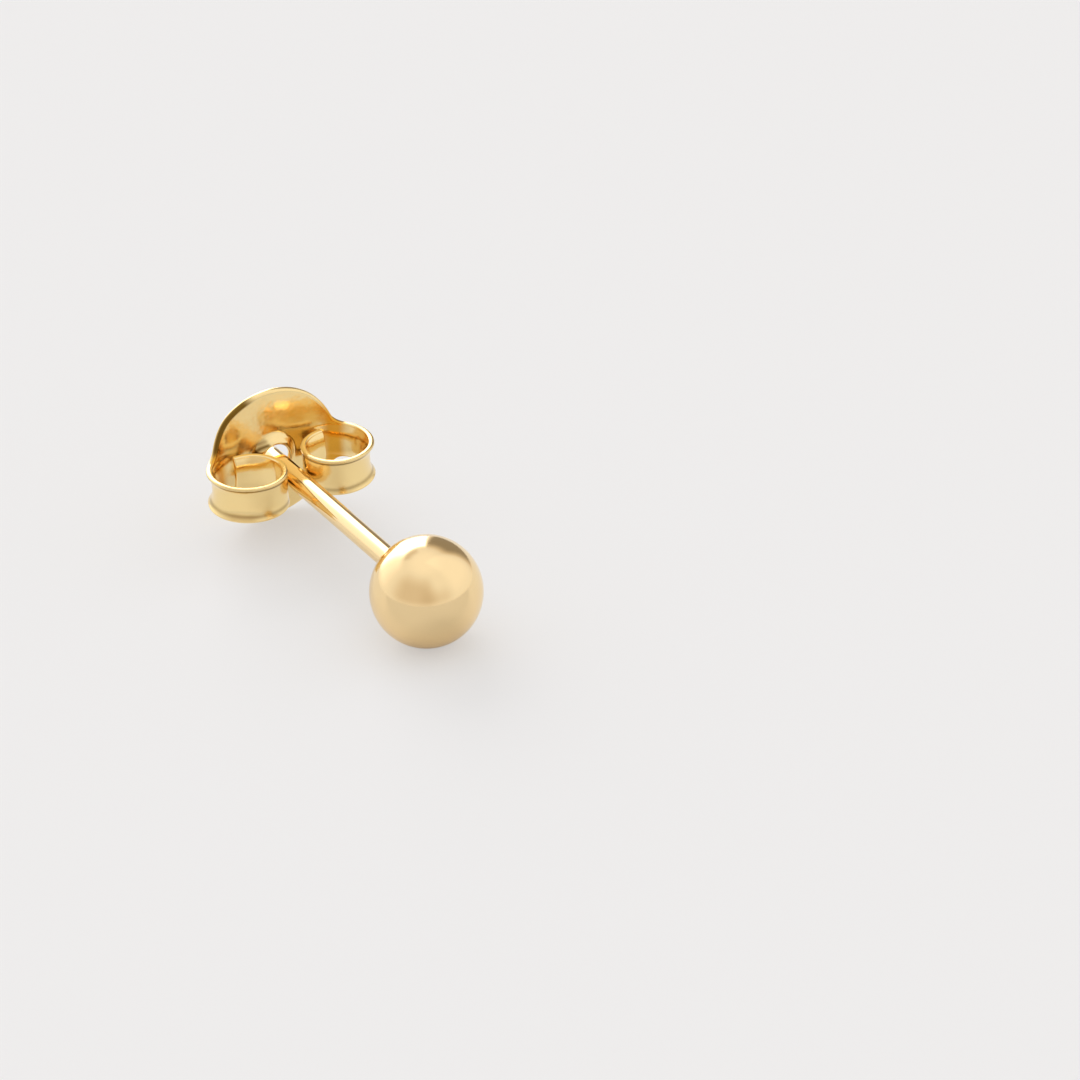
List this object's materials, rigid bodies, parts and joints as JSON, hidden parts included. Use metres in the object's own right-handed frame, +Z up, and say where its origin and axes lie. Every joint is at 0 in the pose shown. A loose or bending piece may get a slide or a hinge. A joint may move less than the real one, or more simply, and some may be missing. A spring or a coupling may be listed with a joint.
{
  "type": "ball stud earring",
  "caption": "Polished gold ball stud earring: a small plain ball soldered to a straight ear post, with a butterfly back whose scrolls slide along the post",
  "frame": {"origin": "on the surface the earring lies on, under the middle of the whole object", "axes": "+Z up, +Y from the ball towards the back, +X to the right seen from the ball's end; the post rises 2.70 degrees from ball to back"},
  "size_m": [0.0066, 0.015, 0.0053],
  "materials": {
    "polished_gold": "mirror-polished pale yellow gold plate"
  },
  "bodies": {
    "stud": {"ball_stud": "polished_gold"},
    "back": {"butterfly_back": "polished_gold"}
  },
  "joints": [
    {"name": "back_slide", "type": "slide", "parent": "stud", "child": "back", "axis": [0, 0.9989, 0.0471], "range_m": [-0.0063, 0.0055]}
  ]
}
